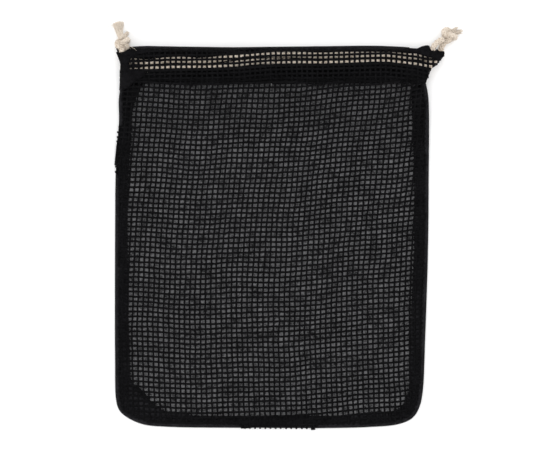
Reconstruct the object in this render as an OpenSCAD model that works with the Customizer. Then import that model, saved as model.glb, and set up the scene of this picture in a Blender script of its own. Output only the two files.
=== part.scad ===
// Flat drawstring laundry bag: open cotton net in front, plain woven cloth behind.
// X runs across the bag, Y runs from the bottom seam to the mouth, Z is up.
// The bag lies on its cloth panel, so the underside of the cloth is the plane z = 0.

/* [Bag] */
// Length from the bottom seam to the top of the back hem
bag_l = 304.2; // [290:1:330]
// Depth of the hems that hold the cords, measured down from the top
hem_w = 29.7; // [28:0.1:34]
// How far the front hem's fold stays below the back hem's fold
front_step = 2.8; // [1:0.1:3]

/* [Fabric] */
// Thickness of the woven cloth and of each hem layer
cloth_t = 0.8; // [0.6:0.1:1]
// Thickness of the net
net_t = 1.2; // [0.8:0.1:1.6]
// Thickness of the stacked layers of a seam allowance
allowance_t = 1.2; // [0.8:0.1:1.6]
// Thickness of the side and bottom walls, where front and back are sewn together
seam_t = 1.6; // [1.2:0.1:2.4]
// Thickness of the sewing thread
thread_d = 0.5; // [0.3:0.1:0.6]

/* [Mouth] */
// Clear height inside each hem
hem_clear = 5.6; // [5.6:0.1:6]
// Clear height of the mouth between the two hems
mouth_clear = 4.6; // [4.4:0.1:6]
// Clear height inside the bag at the bottom seam
bottom_clear = 4.2; // [4.1:0.1:6]
// How far above the bottom seam the front net starts to rise to the mouth
rise_start = 212; // [180:1:220]

/* [Cords] */
// Diameter of the drawcords
cord_d = 5; // [4:0.1:5]
// Sides of a drawcord's tube
cord_sides = 8; // [8:1:12]

/* [Hidden] */

cloth_black = [0.09, 0.09, 0.1];
net_black = [0.05, 0.05, 0.06];
thread_black = [0.2, 0.2, 0.22];
cord_cream = [0.89, 0.84, 0.76];

top_y = 152.2;
bottom_y = top_y - bag_l;
hem_y = top_y - hem_w;
hem_h = hem_clear + 2 * cloth_t;
bag_h = 2 * hem_h + mouth_clear;
tunnel_x = 110;
body_gap = 0.3;
overlock_w = 6;
overlock_l = 130;
overlock_inset = 3.4;
lot = 400;

// Bottom corners are quarter ellipses: centre and radii of each.
left_corner = [-88.4, bottom_y + 26.8];
left_radii = [36, 26.8];
right_corner = [89.5, bottom_y + 28.5];
right_radii = [32, 28.5];

// Side edges from the hem down to the corners.
left_edge = [[-120.4, hem_y], [-121.3, 116], [-123.4, 88], [-124.4, 20]];
right_edge = [[122.8, -82], [124.9, -10], [125.4, 37], [125, 112], [123, hem_y]];

// Line of the front net's lower face: nearly flat, then rising to the mouth.
front_low = [
    [bottom_y - 1, cloth_t + bottom_clear],
    [bottom_y + rise_start, cloth_t + bottom_clear + 0.8],
    [hem_y, bag_h - net_t]
];

function ellipse_arc(centre, radii, from, to, steps = 8) =
    [for (k = [0 : steps])
        let (a = from + (to - from) * k / steps)
        [centre.x + radii.x * cos(a), centre.y + radii.y * sin(a)]];

// Inner edge of the seam allowances: wider at the top left, cut off across the bottom corners.
allowance_edge = [
    [-102, hem_y], [-107.5, 113], [-111, 100], [-112, 78], [-114.8, 33], [-114, -60], [-112, -118],
    [-101, -129], [-89, -139.5], [-60, -142.4], [60, -142.4], [97, -139.5], [105, -134], [110, -122],
    [110, -105], [112, -50], [114, -10], [114, 45], [111.5, hem_y]
];

// Outline of the panels below the hem, pulled in by a distance on the sides and the bottom.
function panel_outline(inset = 0) = concat(
    [for (p = left_edge) [p.x + inset, p.y]],
    ellipse_arc(left_corner, left_radii - [inset, inset], 180, 270),
    ellipse_arc(right_corner, right_radii - [inset, inset], 270, 360),
    [for (p = right_edge) [p.x - inset, p.y]]);

// Section of a hem across the bag: a folded layer with a round top and a sewn flange.
function hem_section(fold_y, wall) =
    let (r = hem_h / 2, flange = cloth_t * 2, low = wall, high = hem_h - wall)
    concat(
        [[hem_y + (wall > 0 ? 3.6 : 0), low]],
        [for (k = [0 : 8]) let (a = -90 + 180 * k / 8)
            [fold_y - r + (r - wall) * cos(a), r + (r - wall) * sin(a)]],
        [[hem_y + 7.8, high]],
        wall > 0 ? [] : [[hem_y + 3.2, flange], [hem_y, flange]]);

// Turns a drawing whose axes are Y and Z into a bar along X.
module along_x(from, to) {
    translate([from, 0, 0])
        rotate([90, 0, 90])
            linear_extrude(to - from)
                children();
}

module hem_tube(fold_y) {
    difference() {
        along_x(-tunnel_x, tunnel_x) polygon(hem_section(fold_y, 0));
        along_x(-tunnel_x - 1, tunnel_x + 1) polygon(hem_section(fold_y, cloth_t));
    }
}

// Everything between the back cloth and the front net.
module inside_wedge() {
    along_x(-lot, lot)
        polygon(concat(front_low, [[hem_y, cloth_t], [bottom_y - 1, cloth_t]]));
}

// A strip along the sides and the bottom, from one outline in to another, open at the hem.
module rim_strip(outer, inner, height) {
    translate([0, 0, cloth_t])
        linear_extrude(height)
            difference() {
                polygon(outer);
                polygon(concat([[inner[0].x, lot]], inner, [[inner[len(inner) - 1].x, lot]]));
            }
}

// The wall where front and back are sewn together, with the allowances lying inside it.
module seam_rim() {
    intersection() {
        inside_wedge();
        union() {
            rim_strip(panel_outline(), panel_outline(seam_t), bag_h);
            rim_strip(panel_outline(seam_t), allowance_edge, allowance_t);
        }
    }
}

// The sides end where the bottom corners begin.
module side_seam(side) {
    corner_y = side < 0 ? left_corner.y : right_corner.y;
    intersection() {
        seam_rim();
        translate([side < 0 ? -lot : 0, corner_y, 0])
            cube([lot, lot, lot]);
    }
}

// Overlock thread: one chain along an allowance's inner edge with bars across it.
module overlock(length, pitch = 7) {
    translate([0, overlock_w - thread_d, 0])
        cube([length, thread_d, thread_d]);
    for (x = [0 : pitch : length - thread_d])
        translate([x, 0, 0])
            cube([thread_d, overlock_w, thread_d]);
}

// Lockstitch: a row of short stitches with gaps.
module lockstitch(pitch = 5, stitch = 3) {
    for (x = [-tunnel_x + 2 : pitch : tunnel_x - 2 - stitch])
        translate([x, 0, 0])
            cube([stitch, thread_d + 0.1, thread_d - 0.1]);
}

// A round bar from one point to another, thicker or thinner at its end.
module strand(from, to, r1, r2) {
    way = to - from;
    translate(from)
        rotate([0, acos(way.z / norm(way)), atan2(way.y, way.x)])
            cylinder(h = norm(way), r1 = r1, r2 = r2, $fn = 24);
}

// Tube swept along a route: each ring faces halfway between its two neighbours.
function unit(v) = v / norm(v);
function heading(route, k) =
    unit(unit(route[min(k + 1, len(route) - 1)] - route[k == len(route) - 1 ? k - 1 : k])
       + unit(route[k == 0 ? 1 : k] - route[max(k - 1, 0)]));
function across(route, k) = unit(cross([0, 1, 0.02], heading(route, k)));
function ring(route, k) =
    let (u = across(route, k), v = cross(heading(route, k), u))
    [for (s = [0 : cord_sides - 1])
        let (a = 360 * s / cord_sides)
        route[k] + cord_d / 2 * (u * cos(a) + v * sin(a))];

module swept_cord(route) {
    rings = len(route);
    last = (rings - 1) * cord_sides;
    polyhedron(
        points = [for (k = [0 : rings - 1]) each ring(route, k)],
        faces = concat(
            [[for (s = [cord_sides - 1 : -1 : 0]) s]],
            [for (k = [0 : rings - 2]) for (s = [0 : cord_sides - 1])
                let (a = k * cord_sides + s, b = k * cord_sides + (s + 1) % cord_sides)
                [a, b, b + cord_sides, a + cord_sides]],
            [[for (s = [0 : cord_sides - 1]) last + s]]));
}

// Heights of the cords' runs: the middle of the back hem and of the front hem.
run_back = hem_h / 2;
run_front = bag_h - hem_h / 2;
run_mid = bag_h / 2;

// Left cord: from its knot through the front hem, round the right end, back through the back hem.
left_route = [
    [-119, 149.5, run_front - 4.6], [-118.4, 146, run_front - 2.4], [-115.5, 142.6, run_front - 0.6],
    [-110, 140, run_front], [-98, 138.8, run_front], [-84, 140.4, run_front], [-70, 140.8, run_front],
    [-56, 140, run_front], [-42, 141.4, run_front], [-28, 143.4, run_front], [-12, 144.8, run_front],
    [6, 145, run_front], [24, 144.8, run_front], [40, 144.2, run_front], [58, 144.8, run_front],
    [76, 144.8, run_front], [92, 144.6, run_front], [106, 143.8, run_front], [116.8, 143.2, run_front],
    [121.5, 142.4, run_front - 1.8], [123.4, 140.3, run_mid], [121.5, 138.2, run_back + 1.8],
    [116.8, 137.4, run_back], [110, 138.4, run_back], [103, 141.2, run_back], [96, 143.2, run_back],
    [88, 143.6, run_back], [0, 143.6, run_back], [-100, 143.6, run_back], [-110, 144, run_back],
    [-115.4, 146, run_back + 0.3], [-118, 149.5, run_back + 1]
];

// Right cord: from its knot round the left end and back, below the left cord in both hems.
right_route = [
    [137, 157.8, run_front - 4.8], [132, 154.8, run_front - 4], [129, 151.4, run_front - 3],
    [127.9, 147.4, run_front - 1.8], [127.2, 142.8, run_front - 0.2], [126.2, 138.6, run_front + 0.2],
    [120, 136.6, run_front], [106, 138.2, run_front], [92, 139.2, run_front], [76, 139.4, run_front],
    [58, 139.4, run_front], [40, 138.8, run_front], [24, 139.4, run_front], [6, 139.6, run_front],
    [-12, 139.4, run_front],
    [-28, 137.8, run_front], [-42, 135.8, run_front], [-56, 134.6, run_front], [-70, 135.4, run_front],
    [-84, 135, run_front], [-98, 133.4, run_front], [-110.5, 132, run_front],
    [-115.2, 132.9, run_front - 1.8], [-117.1, 135, run_mid], [-115.2, 137.1, run_back + 1.8],
    [-110.5, 138, run_back], [-104, 137, run_back], [-97, 134.2, run_back], [-90, 132.2, run_back],
    [-82, 131.8, run_back], [0, 131.8, run_back], [110, 131.8, run_back], [118, 131.4, run_back],
    [123.4, 132.7, run_back],
    [127.8, 137.6, run_back + 0.2], [132, 142.8, run_back + 0.8], [134.6, 147.4, run_back + 1.5],
    [135.6, 151.6, run_back + 1.8], [138.2, 155.8, run_back + 2]
];

// Middle of each overhand knot.
left_knot_at = [-117.9, 153.8, 7.2];
right_knot_at = [141.2, 160.3, 7];

// Cloth edge of the mouth past the ends of the hems.
back_left_edge = [[-120.2, hem_y + body_gap], [-120.3, 130], [-119.6, 137.7], [-121, 142], [-124.3, top_y]];
back_right_edge = [[137.4, 147], [136.6, 143.4], [131.6, 137.2], [127, 134], [122.8, hem_y + body_gap]];
front_left_edge = [[-120.2, hem_y + body_gap], [-120.3, 130], [-119.6, 137.7], [-121, 142], [-122.6, 147]];
front_right_edge = [[137.4, 147], [136.6, 143.4], [131.6, 137.2], [127, 134], [122.8, hem_y + body_gap]];
left_end_x = -tunnel_x - body_gap;
right_end_x = tunnel_x + body_gap;

module back_cloth_panel() {
    color(cloth_black)
        linear_extrude(cloth_t)
            polygon(panel_outline());
}

module front_net_panel() {
    color(net_black)
        intersection() {
            linear_extrude(bag_h)
                polygon(panel_outline());
            along_x(-lot, lot)
                polygon(concat(front_low, [for (k = [2 : -1 : 0]) front_low[k] + [0, net_t]]));
        }
}

module back_cord_tunnel() {
    color(cloth_black)
        hem_tube(top_y);
}

module front_cord_tunnel() {
    color(net_black)
        translate([0, 0, bag_h])
            mirror([0, 0, 1])
                hem_tube(top_y - front_step);
}

module back_left_tunnel_end() {
    color(cloth_black)
        linear_extrude(cloth_t)
            polygon(concat([[left_end_x, hem_y + body_gap]], back_left_edge, [[left_end_x, top_y]]));
}

module front_left_tunnel_end() {
    color(net_black)
        translate([0, 0, bag_h - cloth_t])
            linear_extrude(cloth_t)
                polygon(concat(
                    [[left_end_x, hem_y + body_gap]], front_left_edge,
                    [[left_end_x, top_y - front_step - 1]]));
}

module back_right_tunnel_end() {
    color(cloth_black)
        linear_extrude(cloth_t)
            polygon(concat(
                [[right_end_x, top_y], [126, top_y]], back_right_edge,
                [[right_end_x, hem_y + body_gap]]));
}

module front_right_tunnel_end() {
    color(net_black)
        translate([0, 0, bag_h - cloth_t])
            linear_extrude(cloth_t)
                polygon(concat(
                    [[right_end_x, top_y - front_step - 1], [125, top_y - front_step - 1]], front_right_edge,
                    [[right_end_x, hem_y + body_gap]]));
}

module left_seam_allowance() {
    color(cloth_black)
        side_seam(-1);
}

module right_seam_allowance() {
    color(cloth_black)
        side_seam(1);
}

module bottom_seam_allowance() {
    color(cloth_black)
        intersection() {
            seam_rim();
            union() {
                translate([-lot, left_corner.y - lot, 0]) cube([lot, lot, lot]);
                translate([0, right_corner.y - lot, 0]) cube([lot, lot, lot]);
            }
        }
}

module left_seam_thread() {
    color(thread_black)
        translate([left_edge[3].x + overlock_inset, 15, cloth_t + allowance_t])
            rotate([0, 0, -90])
                overlock(overlock_l);
}

module right_seam_thread() {
    color(thread_black)
        translate([right_edge[0].x - overlock_inset, 15 - overlock_l, cloth_t + allowance_t])
            rotate([0, 0, 90])
                overlock(overlock_l);
}

module bottom_seam_thread() {
    color(thread_black)
        translate([left_corner.x, bottom_y + overlock_inset, cloth_t + allowance_t])
            overlock(right_corner.x - left_corner.x);
}

module front_hem_thread() {
    color(thread_black)
        translate([0, hem_y + 1.4, bag_h])
            lockstitch();
}

module back_hem_thread() {
    color(thread_black)
        translate([0, hem_y + 1.4, 2 * cloth_t])
            lockstitch();
}

module left_drawcord() {
    color(cord_cream)
        swept_cord(left_route);
}

module right_drawcord() {
    color(cord_cream)
        swept_cord(right_route);
}

// An overhand knot seen from outside: a round core with a turn of cord across it.
module knot(turn_angle) {
    scale_core = 0.93;
    rotate([0, 0, turn_angle]) {
        scale([1.1, 0.95, 1] * scale_core)
            sphere(r = 6, $fn = 24);
        rotate([90, 0, 20])
            rotate_extrude($fn = 32)
                translate([3.6, 0])
                    circle(d = cord_d, $fn = 16);
    }
}

module left_knot() {
    color(cord_cream)
        translate(left_knot_at)
            knot(10);
}

module right_knot() {
    color(cord_cream)
        translate(right_knot_at)
            knot(40);
}

module left_cord_tips() {
    color(cord_cream) {
        strand(left_knot_at + [-1, 5.2, -1], left_knot_at + [-3.2, 17.4, -3.4], 2.5, 2.9);
        strand(left_knot_at + [3.6, 4.6, -1], left_knot_at + [4.6, 10.6, -3], 1.9, 1.4);
    }
}

module right_cord_tips() {
    color(cord_cream) {
        strand(right_knot_at + [5.2, 2.4, -1.4], right_knot_at + [11.6, 4.2, -3.6], 2.2, 1.5);
        strand(right_knot_at + [3.6, 4.4, 0], right_knot_at + [8, 8.4, -2.4], 2.2, 1.5);
    }
}

back_cloth_panel();
front_net_panel();
back_cord_tunnel();
front_cord_tunnel();
back_left_tunnel_end();
front_left_tunnel_end();
back_right_tunnel_end();
front_right_tunnel_end();
left_seam_allowance();
right_seam_allowance();
bottom_seam_allowance();
left_seam_thread();
right_seam_thread();
bottom_seam_thread();
front_hem_thread();
back_hem_thread();
left_drawcord();
right_drawcord();
left_knot();
right_knot();
left_cord_tips();
right_cord_tips();
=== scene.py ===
import math
import random

import bmesh
import bpy
import numpy as np
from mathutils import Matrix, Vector
from mathutils.geometry import delaunay_2d_cdt


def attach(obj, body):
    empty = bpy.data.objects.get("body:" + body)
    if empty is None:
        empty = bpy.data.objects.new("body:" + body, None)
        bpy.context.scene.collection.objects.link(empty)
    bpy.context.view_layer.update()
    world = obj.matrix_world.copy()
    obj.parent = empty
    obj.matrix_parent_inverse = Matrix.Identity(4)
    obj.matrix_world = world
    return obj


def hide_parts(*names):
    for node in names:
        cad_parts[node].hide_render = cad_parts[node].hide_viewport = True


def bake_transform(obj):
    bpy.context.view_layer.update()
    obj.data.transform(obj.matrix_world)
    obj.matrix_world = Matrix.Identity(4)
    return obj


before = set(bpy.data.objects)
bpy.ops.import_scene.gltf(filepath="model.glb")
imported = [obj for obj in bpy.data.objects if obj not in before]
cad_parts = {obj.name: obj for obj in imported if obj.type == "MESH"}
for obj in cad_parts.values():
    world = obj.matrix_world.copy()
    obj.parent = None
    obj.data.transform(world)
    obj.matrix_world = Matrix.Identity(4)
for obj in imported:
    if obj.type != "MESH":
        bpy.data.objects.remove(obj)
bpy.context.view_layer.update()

# ---------------------------------------------------------------- dimensions, in millimetres
MM = 0.001
TOP_Y = 152.2            # fold of the back hem
HEM_Y = 122.5            # row of stitches that closes both hems
TUNNEL_X = 110.0         # where the hems become the flared ends of the mouth
MOUTH_Z = 9.5            # mid height of the mouth
SEAM_Z = 3.5             # height of the side edges along the bag
SEAM_RISE = 6.7          # how much higher they are at the hem
ROOF_Z = 4.9             # height of the net's middle along the bag
ROOF_RISE = 13.7         # how much higher it is at the hem

# The bag's outline, from the left end of the hem round to the right end
OUTLINE = [
    (-120.4, 122.5), (-120.5, 117), (-121.5, 109), (-121.2, 94), (-122.6, 76), (-124.1, 48), (-124.4, 20),
    (-124.5, -100), (-123.7, -130), (-121.2, -138.4), (-112, -145.4), (-101, -149.5), (-84, -151.1),
    (-9, -152), (50, -152.1), (80, -151.2), (101.5, -149.1), (113, -144), (118, -135.8), (120.6, -124),
    (122.6, -82), (124.9, -10), (125.4, 37), (125, 112), (123, 122.5),
]

# The inner edge of the seam allowance, in the same order
ALLOWANCE_EDGE = [
    (-102, 122.5), (-107.5, 113), (-111, 100), (-112, 78), (-114.8, 33), (-114, -60), (-112, -117),
    (-103.5, -120), (-99, -128), (-88, -138), (-60, -142.6), (60, -142.4), (97, -139.5), (105, -134),
    (110, -122), (110, -105), (112, -50), (114, -10), (114, 45), (111.5, 122.5),
]

# The free ends of the two hems, as x at a height y: rising lists of (y, x)
LEFT_END = [(122.5, -120.4), (130, -120.3), (137.7, -119.6), (142, -121), (147, -122.6), (152.2, -124.3)]
RIGHT_END = [(122.5, 122.8), (134, 127), (137.2, 131.6), (143.4, 136.6), (147, 137.4), (148.4, 136.6),
             (149.4, 127), (152.2, 126)]
# The folds of the back and front hems, as y at a place x
BACK_FOLD = [(-130, 152.0), (-113, 151.5), (-101, 152.3), (-76, 151.8), (-30, 151.2), (20, 151.8),
             (47, 152.1), (68, 152.4), (86, 152.4), (105, 151.6), (115.5, 150.6), (121.5, 151.9), (130, 152.1)]
FRONT_FOLD = [(-124, 147.2), (-119, 146.2), (-112, 149), (-105, 149.4), (112, 149.4), (120, 149.2),
              (125, 149.4), (129, 147.6), (138, 147)]

# The front hem's row of cells over the lower cord
HEM_ROW = [(-120, 133.8), (-99, 134.5), (-76, 135.4), (-51, 135.6), (-27, 136.2), (0, 138.4), (60, 139.7),
           (93, 140), (114, 138.1), (126, 136)]

# The hem's turned-back ends at the two corners of the mouth, as closed outlines
LEFT_WRAP = [(-120.9, 117), (-120.4, 124), (-120.3, 130), (-119.8, 137.7), (-121.2, 142), (-122.6, 146.6),
             (-119, 146.6), (-113, 148.8), (-106, 149.2), (-99, 148.7), (-97, 147), (-103, 145.6),
             (-108.6, 143.6), (-112, 140.6), (-113.4, 136.6), (-111, 133), (-104, 131.9), (-99.8, 130.4),
             (-103, 126.6), (-108, 124), (-113, 119.4), (-117.4, 117)]
RIGHT_TURNED_EDGE = [(106, 123), (122.3, 123), (124.4, 128), (126.6, 133.2), (124, 134), (118, 133.6),
                     (112, 134.4), (106, 135.2)]
RIGHT_WRAP = [(108, 148.9), (115, 149.4), (119.5, 151.4), (125.4, 152.1), (126.6, 148.4), (129.8, 147.7),
              (131.6, 149.8), (133.2, 147.6), (137.3, 147.7), (137.2, 144.6), (135, 141.6),
              (132.6, 139.8), (130.4, 141.4), (124, 142.9), (116, 145.6)]

# Net
PITCH_X = 4.17
PITCH_Y = 3.97
HEM_PITCH = 3.65         # rows lie a little closer in the hem
COLUMN_YARN_W = 1.6
ROW_YARN_W = 1.78
HEM_COLUMN_YARN_W = 1.82
HEM_ROW_YARN_W = 2.08
DOUBLED_ROW = -1         # the row of the hem under the lower cord, where two yarns lie side by side
DOUBLED_WIDTH = 1.4      # how much wider that pair is
DOUBLED_SHIFT = 0.13     # and how far down it lies, in rows
COLUMNS = (-34, 36)      # first and last column of the net
PANEL_ROWS = (-42, 36)   # first and last row of its front panel
HEM_ROWS = (-7, 14)      # and of its hem, round the fold and back
YARN_H = 0.9
WAVE = 0.36              # how far the yarns weave over and under each other
YARN_SIDES = 5
STEPS = 4                # points along a yarn for each cell
HEM_STEPS = 6            # the same where the yarn turns round the hem's fold

# Back cloth
CLOTH_T = 0.42
CLOTH_GRID = 3.0         # spacing of the cloth's points
THREAD = 0.55            # width of its warp and weft threads
ALLOWANCE_T = 0.9        # two layers of cloth
ALLOWANCE_Z = 1.75
ALLOWANCE_LIMIT = 12.0   # width where the allowance's edge isn't met
OVERLOCK_PITCH = 2.6
OVERLOCK_D = 0.42
STITCH_PITCH = 2.9
STITCH_D = 0.5
LIP = 3.0                # the cloth's edge rolls up and over by this much before it meets the net
TOOTH = 0.7              # where the net itself is the edge, its yarns stand out by this much
LEFT_TEETH = (48.7, 88.5)
BOTTOM_TEETH = (-25.0, 37.0)

# Cords
CORD_D = 5.0
FRONT_Z = 15.4
BACK_Z = 3.6
BRAID_PITCH = 12.5
STRAND_R = 0.82
KNOT_CORD_D = 4.6        # the cord is squeezed where it is knotted
KNOT_BRAID_PITCH = 10.0
FUZZ_FIBRES = 150
FIBRE_D = 0.13
WISP_D = 0.24
LEFT_ROUTE = [
    (-119, 149.5, FRONT_Z - 4.6), (-118.4, 146, FRONT_Z - 2.4), (-115.5, 142.6, FRONT_Z - 0.6),
    (-110, 140, FRONT_Z), (-98, 138.8, FRONT_Z), (-84, 140.4, FRONT_Z), (-70, 140.8, FRONT_Z),
    (-56, 140, FRONT_Z), (-42, 141.4, FRONT_Z), (-28, 143.4, FRONT_Z), (-12, 144.8, FRONT_Z),
    (6, 145, FRONT_Z), (24, 144.8, FRONT_Z), (40, 144.2, FRONT_Z), (58, 144.8, FRONT_Z),
    (76, 144.8, FRONT_Z), (92, 144.6, FRONT_Z), (106, 143.8, FRONT_Z), (116.8, 143.2, FRONT_Z),
    (121.5, 142.4, FRONT_Z - 1.8), (123.4, 140.3, MOUTH_Z), (121.5, 138.2, BACK_Z + 1.8),
    (116.8, 137.4, BACK_Z), (110, 138.4, BACK_Z), (103, 141.2, BACK_Z), (96, 143.2, BACK_Z),
    (88, 143.6, BACK_Z), (0, 143.6, BACK_Z), (-100, 143.6, BACK_Z), (-110, 144, BACK_Z),
    (-115.4, 146, BACK_Z + 0.3), (-118, 149.5, BACK_Z + 1),
]
RIGHT_ROUTE = [
    (137, 157.8, FRONT_Z - 4.8), (132, 154.8, FRONT_Z - 4), (129, 151.4, FRONT_Z - 3),
    (127.9, 147.4, FRONT_Z - 1.8), (127.2, 142.8, FRONT_Z - 0.2), (126.2, 138.6, FRONT_Z + 0.2),
    (120, 136.6, FRONT_Z), (106, 138.2, FRONT_Z), (92, 139.2, FRONT_Z), (76, 139.4, FRONT_Z),
    (58, 139.4, FRONT_Z), (40, 138.8, FRONT_Z), (24, 139.4, FRONT_Z), (6, 139.6, FRONT_Z),
    (-12, 139.4, FRONT_Z), (-28, 137.8, FRONT_Z), (-42, 135.8, FRONT_Z), (-56, 134.6, FRONT_Z),
    (-70, 135.4, FRONT_Z), (-84, 135, FRONT_Z), (-98, 133.4, FRONT_Z), (-110.5, 132, FRONT_Z),
    (-115.2, 132.9, FRONT_Z - 1.8), (-117.1, 135, MOUTH_Z), (-115.2, 137.1, BACK_Z + 1.8),
    (-110.5, 138, BACK_Z), (-104, 137, BACK_Z), (-97, 134.2, BACK_Z), (-90, 132.2, BACK_Z),
    (-82, 131.8, BACK_Z), (0, 131.8, BACK_Z), (110, 131.8, BACK_Z), (118, 131.4, BACK_Z),
    (123.4, 132.7, BACK_Z), (127.8, 137.6, BACK_Z + 0.2), (132, 142.8, BACK_Z + 0.8),
    (134.6, 147.4, BACK_Z + 1.5), (135.6, 151.6, BACK_Z + 1.8), (138.2, 155.8, BACK_Z + 2),
]
LEFT_KNOT = (-117.9, 153.8, 7.2)
RIGHT_KNOT = (141.2, 160.3, 7.0)

# The cut ends past each knot, from the knot's centre: points, widths along them, fibres, seed, spread
LEFT_ENDS = [
    ([(-1, 3.6, -0.6), (-2.8, 9, -2), (-3.8, 14, -2.6), (-4.6, 17.8, -2.6)],
     (5.4, 5.6, 6.2, 8.8, 9.4), 130, 21, 0.3),
    ([(0.6, 4.4, -0.6), (2.2, 7.6, -2), (4.4, 9.4, -3.2)], (4.2, 3.4, 2.4), 34, 22, 0.6),
]
RIGHT_ENDS = [
    ([(3, 1.6, -1), (7, 2.8, -2.2), (11.4, 4.2, -3.4)], (5.0, 4.2, 2.0), 40, 31, 0.9),
    ([(2.4, 3, 0), (5, 5, -1.4), (7.4, 7, -2.4)], (4.0, 3.0, 1.6), 26, 32, 0.9),
]
# Stray fibres, from the knot's centre: where they start, where each ends, seed
LEFT_WISPS = [
    ((-4.2, 14.6, -2.6), [(-14.2, 13.6, -4.4), (-12.6, 14.2, -4.4), (-10.4, 16, -4), (-9.8, 13.2, -4.2),
                          (-9.4, 17.6, -4)], 5),
    ((4, -1.6, 5.3), [(11, -5.6, 12.2), (8.6, -6.6, 11.8), (9.6, -4.2, 11.8)], 8),
]
RIGHT_WISPS = [
    ((8, 4, -2.4), [(12.4, 6.4, -3.6), (12.2, 2.4, -3.8), (9.6, 8.4, -3.6)], 6),
]

# Camera
VIEW_WIDTH = 438.0
VIEW_CENTRE = (2.95, 9.7)
VIEW_Z = 6.0             # the height at which the view has that width


# ---------------------------------------------------------------- camera, light and floor
def add_camera():
    """A long lens straight above the bag, so far off that its view is VIEW_WIDTH wide at VIEW_Z."""
    data = bpy.data.cameras.new("camera")
    data.lens = 240
    data.sensor_width = 36
    camera = bpy.data.objects.new("camera", data)
    distance = VIEW_WIDTH * data.lens / data.sensor_width
    camera.location = (VIEW_CENTRE[0] * MM, VIEW_CENTRE[1] * MM, (distance + VIEW_Z) * MM)
    bpy.context.collection.objects.link(camera)
    bpy.context.scene.camera = camera


def add_area_light(name, place, size, power):
    data = bpy.data.lights.new(name, "AREA")
    data.shape = "SQUARE"
    data.size = size
    data.energy = power
    light = bpy.data.objects.new(name, data)
    light.location = place
    light.rotation_euler = (-Vector(place)).to_track_quat("-Z", "Y").to_euler()
    bpy.context.collection.objects.link(light)


def add_studio():
    world = bpy.data.worlds.new("studio")
    world.use_nodes = True
    background = world.node_tree.nodes["Background"]
    background.inputs["Color"].default_value = (1, 1, 1, 1)
    background.inputs["Strength"].default_value = 1.12
    bpy.context.scene.world = world
    add_area_light("overhead", (0.15, 0.35, 1.9), 1.6, 13)
    add_area_light("side_fill", (-1.3, -0.8, 1.1), 1.2, 6)
    bpy.context.scene.view_settings.view_transform = "Standard"
    bpy.ops.mesh.primitive_plane_add(size=6, location=(0, 0, 0))
    floor = bpy.context.object
    floor.name = "floor"
    material = bpy.data.materials.new("floor_paper")
    material.use_nodes = True
    shader = material.node_tree.nodes["Principled BSDF"]
    shader.inputs["Base Color"].default_value = (0.93, 0.93, 0.93, 1)
    shader.inputs["Roughness"].default_value = 0.9
    shader.inputs["Specular IOR Level"].default_value = 0.1
    floor.data.materials.append(material)


# ---------------------------------------------------------------- number helpers
def smoothstep(t):
    t = np.clip(t, 0, 1)
    return t * t * (3 - 2 * t)


def unit(v):
    return v / np.maximum(np.linalg.norm(v, axis=-1, keepdims=True), 1e-12)


def along(points):
    """Length along a polyline, at each of its points."""
    steps = np.linalg.norm(np.diff(points, axis=0), axis=1)
    return np.concatenate([[0], np.cumsum(steps)])


def resample(points, step):
    """The same polyline with points at equal steps."""
    points = np.asarray(points, float)
    s = along(points)
    count = max(2, int(round(s[-1] / step)) + 1)
    t = np.linspace(0, s[-1], count)
    return np.stack([np.interp(t, s, points[:, k]) for k in range(points.shape[1])], axis=1)


def smooth_out(values, times):
    """Evens out a list of values in place, leaving its two ends."""
    for _ in range(times):
        values[1:-1] = (values[:-2] + 2 * values[1:-1] + values[2:]) / 4


def read_table(table, at):
    """A value read in between the (place, value) pairs of a table."""
    places, values = zip(*table)
    return np.interp(at, places, values)


def read_grid(grid, u, v):
    """A grid's value at u steps along its first axis and v along its second, part steps included."""
    u = np.clip(u, 0, grid.shape[0] - 1.001)
    v = np.clip(v, 0, grid.shape[1] - 1.001)
    i, j = u.astype(int), v.astype(int)
    a, b = u - i, v - j
    if grid.ndim == 3:
        a, b = a[..., None], b[..., None]
    near = grid[i, j] * (1 - a) * (1 - b) + grid[i + 1, j] * a * (1 - b)
    return near + grid[i, j + 1] * (1 - a) * b + grid[i + 1, j + 1] * a * b


def smooth_curve(points, step, per_span=12):
    """A centripetal Catmull-Rom curve through the points, at equal steps."""
    p = np.asarray(points, float)
    p = np.vstack([2 * p[0] - p[1], p, 2 * p[-1] - p[-2]])
    out = []
    for a, b, c, d in zip(p[:-3], p[1:-2], p[2:-1], p[3:]):
        knots = np.cumsum([0] + [max(np.linalg.norm(v) ** 0.5, 1e-6) for v in (b - a, c - b, d - c)])
        t = np.linspace(knots[1], knots[2], per_span, endpoint=False)[:, None]
        k0, k1, k2, k3 = knots
        ab = (k1 - t) / (k1 - k0) * a + (t - k0) / (k1 - k0) * b
        bc = (k2 - t) / (k2 - k1) * b + (t - k1) / (k2 - k1) * c
        cd = (k3 - t) / (k3 - k2) * c + (t - k2) / (k3 - k2) * d
        abc = (k2 - t) / (k2 - k0) * ab + (t - k0) / (k2 - k0) * bc
        bcd = (k3 - t) / (k3 - k1) * bc + (t - k1) / (k3 - k1) * cd
        out.append((k2 - t) / (k2 - k1) * abc + (t - k1) / (k2 - k1) * bcd)
    return resample(np.vstack(out + [p[-2:-1]]), step)


def turning_frame(points):
    """Two vectors across a curve at each point, which turn with it as little as they can."""
    tangent = unit(np.gradient(points, axis=0))
    first = np.cross(tangent[0], (0, 0, 1))
    if np.linalg.norm(first) < 0.1:
        first = np.cross(tangent[0], (1, 0, 0))
    across = [unit(first)]
    for t in tangent[1:]:
        v = across[-1] - t * np.dot(across[-1], t)
        across.append(unit(v))
    across = np.array(across)
    return across, np.cross(tangent, across)


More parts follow.
